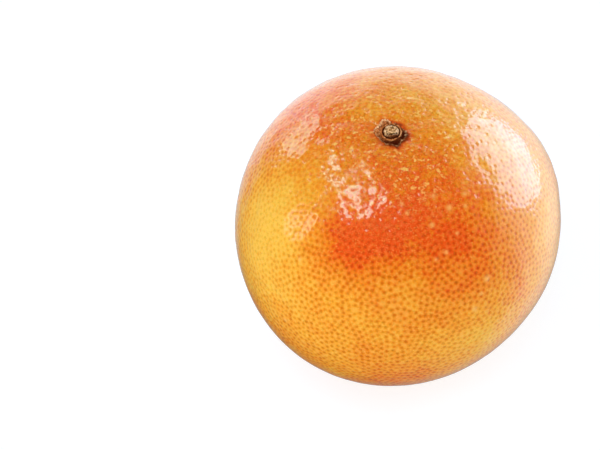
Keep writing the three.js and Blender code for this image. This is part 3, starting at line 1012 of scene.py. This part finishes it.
def wood_relief(distance, azimuth):
    """Height of the stem's broken end, and masks of its pits and of its raised rim."""
    share = distance / STEM_RADIUS
    rim = bell((share - STEM_RIM) / STEM_RIM_WIDTH)
    broken = layered_noise(points_round(1, azimuth, np.zeros_like(azimuth)), BROKEN_NOISE)
    full = np.zeros_like(azimuth)
    for strength, middle, width in FULL_RIM:
        full += strength * bell(azimuth_gap(azimuth, middle) / width)
    knobs = np.clip(KNOB_LEAST + KNOB_FULL * full + broken, 0, 1)
    height = RIM_HEIGHT * rim * (RIM_LEAST + knobs) - HOLLOW_DEPTH * bell(share / HOLLOW_WIDTH)
    pits = np.zeros_like(distance)
    x, y = distance * np.cos(azimuth), distance * np.sin(azimuth)
    for pit_azimuth, place, radius, depth in WOOD_PITS:
        turn = math.radians(pit_azimuth)
        pit = bell(np.hypot(x - place * math.cos(turn), y - place * math.sin(turn)) / radius)
        height -= depth * pit
        pits = np.maximum(pits, pit)
    return height, pits, rim * knobs


def stem_profile():
    """Distances and heights from the middle of the broken end, over its edge and down to the root."""
    across = STEM_RADIUS * np.linspace(0, 1, STEM_RINGS + 1)[1:]
    edge = np.clip((across / STEM_RADIUS - STEM_RIM) / (1 - STEM_RIM), 0, 1)
    top = np.stack([across, STEM_TOP - STEM_EDGE_DROP * edge ** 2.2], axis=1)
    brink = STEM_TOP - STEM_EDGE_DROP
    side = np.linspace(brink - 0.05, STEM_FOOT, STEM_SIDE_RINGS)
    wall = np.stack([STEM_RADIUS - STEM_TAPER * (brink - side), side], axis=1)
    root = np.array([[STEM_ROOT_RADIUS, STEM_FOOT - 0.1], [STEM_ROOT_RADIUS, -STEM_ROOT_DEPTH]])
    return np.concatenate([top, wall, root])


def disc_rings(rings, segments):
    """Triangles of rings of points round a first, middle point, closed at the far end by a last one."""
    ring, at = np.divmod(np.arange((rings - 1) * segments), segments)
    beside = (at + 1) % segments
    a, b = 1 + ring * segments + at, 1 + ring * segments + beside
    c, d = a + segments, b + segments
    spokes = np.arange(segments)
    turned = (spokes + 1) % segments
    last = 1 + rings * segments
    cap = np.stack([np.zeros(segments, int), 1 + spokes, 1 + turned], axis=1)
    foot = np.stack([np.full(segments, last), last - segments + turned, last - segments + spokes], axis=1)
    return np.concatenate([cap, np.stack([a, c, b], axis=1), np.stack([b, c, d], axis=1), foot])


def wood_material():
    """Pale wood, darker in a ring, with dark pits, a pale knobbly rim that is partly painted highlight, and
    painted shade in the grain's creases, on the lower side and round the side wall.
    """
    shader = Shader("stem_end", Specular_IOR_Level=0.0)
    pit = shader.attribute("pit")
    rim = shader.attribute("rim")
    grain = shader.noise(0.3, 3.0, 0.7)
    blot = shader.noise(0.6, 3.0, 0.7)
    wood = shader.mix(shader.span(blot, 0.42, 0.61), WOOD_TAN, WOOD_PALE)
    ring = shader.times(shader.attribute("ring"), shader.span(blot, 0.6, 0.42))
    wood = shader.mix(ring, wood, WOOD_RING)
    # Paler on the rim's raised knobs: partly the wood's own colour, partly painted highlight
    colour = shader.mix(shader.span(rim, 0.1, 0.6), wood, WOOD_RIM_AND_HIGHLIGHT)
    # Painted shade on the lower side and round the side wall
    colour = shader.mix(shader.attribute("painted_shade"), colour, WOOD_SHADE)
    # Darker in the grain's low creases, where the bump is low: painted shade
    crease_shade = shader.times(shader.span(grain, 0.5, 0.34), 0.7)
    colour = shader.mix(crease_shade, colour, WOOD_CREASE_SHADE)
    colour = shader.mix(shader.span(pit, 0.15, 0.45), colour, WOOD_PIT)
    normal = shader.bump(grain, 0.15, 0.9)
    return shader.finish(colour, shader.span(grain, 0.2, 0.8, 0.35, 0.65), normal)


def stem_rings():
    """Distance, azimuth and height of the stem end's points before their relief, ring by ring."""
    profile = stem_profile()
    distance, height = np.repeat(profile, STEM_SEGMENTS, axis=0).T
    azimuth = np.tile(even_azimuths(STEM_SEGMENTS), len(profile))
    return (
        np.concatenate([[0.0], distance, [0.0]]),
        np.concatenate([[0.0], azimuth, [0.0]]),
        np.concatenate([[STEM_TOP], height, [-STEM_ROOT_DEPTH]]),
    )


def stem_bulges(distance, azimuth, height):
    """How far the stem's side bulges outward."""
    bulges = STEM_BULGE * np.sin(STEM_BULGES * azimuth + STEM_BULGE_TURN) * np.sin(STEM_SWAYS * azimuth)
    flutes = STEM_FLUTE_HEIGHT * np.sin(STEM_FLUTES * azimuth)
    outer = np.clip(distance / STEM_RADIUS, 0, 1) ** 3 * (height > STEM_FOOT - 0.05)
    return (bulges + flutes) * outer


def make_stem_end():
    distance, azimuth, height = stem_rings()
    relief, pit, rim = wood_relief(distance, azimuth)
    on_top = height > STEM_TOP - STEM_TOP_DEPTH
    points = points_round(distance, azimuth, height)
    rough = STEM_ROUGHNESS * noise_at(points, 0.5, 3.0)
    outward = stem_bulges(distance, azimuth, height) + rough * (height > 0)
    points[:, :2] *= (1 + outward / np.maximum(distance, 0.5))[:, None]
    points[:, 1] *= STEM_OVAL
    points[:, 2] += np.where(on_top, relief + rough, 0) + BASIN_HEIGHT
    # Painted shade on the top's lower side and all round the side wall
    low_side = bell(azimuth_gap(azimuth, LOW_SIDE_AZIMUTH) / LOW_SIDE_WIDTH)
    painted_shade = low_side * np.clip((distance - SHADED_FROM) / SHADED_FADE, 0, 1)
    ring_share = DARK_RING_LEAST + (1 - DARK_RING_LEAST) * low_side
    attributes = {
        "pit": np.where(on_top, pit, 0),
        "rim": np.where(on_top, rim, 0),
        "painted_shade": np.where(on_top, SHADED_TOP * painted_shade, SHADED_WALL),
        "ring": bell((distance - DARK_RING) / DARK_RING_WIDTH) * ring_share,
    }
    rings = (len(distance) - 2) // STEM_SEGMENTS
    stem = mesh_object("stem_end", points + STEM_BASE, disc_rings(rings, STEM_SEGMENTS), attributes)
    stem.data.materials.append(wood_material())
    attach(stem, "root")
    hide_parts("stem_stub")


make_calyx()
make_stem_end()

# ---- The stage ----


def make_camera():
    """Looks down at the fruit, turned a little aside so that it stands right of the middle."""
    data = bpy.data.cameras.new("camera")
    data.sensor_width = SENSOR
    data.lens = SENSOR * FOCAL_PIXELS / PHOTO_SIZE[0]
    elevation = math.radians(VIEW_ELEVATION)
    back = Vector((0, -math.cos(elevation), math.sin(elevation)))
    right = Vector((1, 0, 0))
    up = back.cross(right)
    facing = Matrix((right, up, back)).transposed().to_4x4()
    turn = math.atan((FRUIT_PIXEL[0] - PHOTO_SIZE[0] / 2) / FOCAL_PIXELS)
    tip = math.atan((FRUIT_PIXEL[1] - PHOTO_SIZE[1] / 2) / FOCAL_PIXELS)
    aside = Matrix.Rotation(turn, 4, "Y") @ Matrix.Rotation(tip, 4, "X")
    camera = bpy.data.objects.new("camera", data)
    bpy.context.scene.collection.objects.link(camera)
    place = Vector(CENTRE * MM) + back * VIEW_DISTANCE
    camera.matrix_world = Matrix.Translation(place) @ facing @ aside
    bpy.context.scene.camera = camera


WHITE = (1.0, 1.0, 1.0)
COOL = (0.35, 0.66, 1.0)
FRESH = (0.45, 1.0, 0.95)

# Round softboxes that show as highlights on the peel: azimuth, elevation, distance, width, height, power
# and colour
HIGHLIGHTS = {
    "back_right": (35, 12, 0.9, 0.84, 0.86, 9.5, COOL),
    "overhead": (197, 64, 0.9, 0.36, 0.34, 2.6, FRESH),
    "overhead_left": (152, 53, 0.9, 0.12, 0.2, 0.55, FRESH),
    "back_left": (134, 14, 0.9, 0.42, 0.4, 1.3, FRESH),
}
# Square-cornered softboxes that light the fruit and the floor evenly, and show in no reflection
FILLS = {
    "fill_above": (240, 70, 1.2, 1.2, 1.2, 12.6, WHITE),
    "fill_front": (279, 0, 1.2, 1.4, 0.3, 7.1, WHITE),
    "fill_left": (185, 5, 1.2, 0.6, 0.6, 2.9, WHITE),
    "fill_rim": (168, -4, 1.2, 0.5, 0.5, 4.9, WHITE),
    "fill_back": (50, 30, 1.2, 1.4, 0.5, 1.6, WHITE),
}
FLOOR_REACH = 4.0
FLOOR_TONES = ((0.27, 0.33, 0.4), (0.29, 0.35, 0.42))
ZENITH_GLOW = 0.1
HORIZON_GLOW = 1.15
FRONT_SHARE = 0.08
LOW_SHARE = 0.3
BRIGHT_SIDE = (0.55, 0.85, -0.1)
# Where the world's brightness changes: up from the horizon, towards the bright side, and below the floor
UPWARD_FADE, SIDE_FADE, LOW_FADE = (0.1, 0.65), (0.0, 0.6), (-0.9, -0.35)
# Soft glows: azimuth, elevation, the cosines where they end and where they are full, and strength
GLOWS = (
    (35, 2, 0.64, 0.94, 0.9),
    (12, -38, 0.84, 0.985, 0.5),
    (100, -22, 0.75, 0.97, 0.35),
    (345, -50, 0.6, 0.95, 0.2),
    (187, 26, 0.993, 0.9993, 3.6),
    (187, 16, 0.993, 0.9993, 3.6),
)


def make_softbox(name, azimuth, elevation, distance, width, height, power, colour, is_fill):
    data = bpy.data.lights.new(name, "AREA")
    data.color = colour
    data.shape = "RECTANGLE" if is_fill else "ELLIPSE"
    data.size = width
    data.size_y = height
    data.energy = power
    lamp = bpy.data.objects.new(name, data)
    bpy.context.scene.collection.objects.link(lamp)
    towards = Vector(direction_of(azimuth, elevation))
    lamp.location = Vector(CENTRE * MM) + towards * distance
    lamp.rotation_euler = towards.to_track_quat("Z", "Y").to_euler()
    lamp.visible_diffuse = is_fill
    lamp.visible_glossy = not is_fill


def floor_material():
    shader = Shader("floor", Emission_Color=(0.98, 0.99, 1.0, 1.0), Emission_Strength=0.78)
    tone = shader.mix(shader.noise(60.0, 2.0), *FLOOR_TONES)
    return shader.finish(tone, 0.9, shader.bump(shader.noise(1.0), 0.01, 0.2))


def make_floor():
    mesh = bpy.data.meshes.new("floor")
    corners = [(x * FLOOR_REACH, y * FLOOR_REACH, 0) for x, y in ((-1, -1), (1, -1), (1, 1), (-1, 1))]
    mesh.from_pydata(corners, [], [(0, 1, 2, 3)])
    floor = bpy.data.objects.new("floor", mesh)
    bpy.context.scene.collection.objects.link(floor)
    mesh.materials.append(floor_material())
    floor.visible_glossy = False


def make_world():
    """Soft light from all round: bright near the horizon behind the fruit, dark overhead and in front."""
    world = bpy.data.worlds.new("studio")
    world.use_nodes = True
    nodes, links = world.node_tree.nodes, world.node_tree.links
    towards = nodes.new("ShaderNodeTexCoord").outputs["Generated"]
    split = nodes.new("ShaderNodeSeparateXYZ")
    links.new(towards, split.inputs["Vector"])

    def towards_share(direction):
        node = nodes.new("ShaderNodeVectorMath")
        node.operation = "DOT_PRODUCT"
        node.inputs[1].default_value = direction
        links.new(towards, node.inputs[0])
        return node.outputs["Value"]

    def graded(socket, *values):
        node = nodes.new("ShaderNodeMapRange")
        node.interpolation_type = "SMOOTHSTEP"
        for key, value in zip(("From Min", "From Max", "To Min", "To Max"), values):
            node.inputs[key].default_value = value
        links.new(socket, node.inputs["Value"])
        return node.outputs["Result"]

    def joined(operation, *sockets):
        node = nodes.new("ShaderNodeMath")
        node.operation = operation
        for socket, place in zip(sockets, node.inputs):
            links.new(socket, place)
        return node.outputs[0]

    strength = joined(
        "MULTIPLY",
        graded(split.outputs["Z"], *UPWARD_FADE, HORIZON_GLOW, ZENITH_GLOW),
        graded(towards_share(BRIGHT_SIDE), *SIDE_FADE, FRONT_SHARE, 1.0),
    )
    strength = joined("MULTIPLY", strength, graded(split.outputs["Z"], *LOW_FADE, LOW_SHARE, 1.0))
    for azimuth, elevation, least, full, glow in GLOWS:
        share = towards_share(direction_of(azimuth, elevation))
        strength = joined("ADD", strength, graded(share, least, full, 0.0, glow))
    background = nodes["Background"]
    background.inputs["Color"].default_value = (1.0, 1.0, 1.0, 1.0)
    links.new(strength, background.inputs["Strength"])
    bpy.context.scene.world = world
    bpy.context.scene.view_settings.view_transform = "Standard"


make_camera()
make_floor()
make_world()
for lamps, are_fills in ((HIGHLIGHTS, False), (FILLS, True)):
    for name, values in lamps.items():
        make_softbox(name, *values, are_fills)
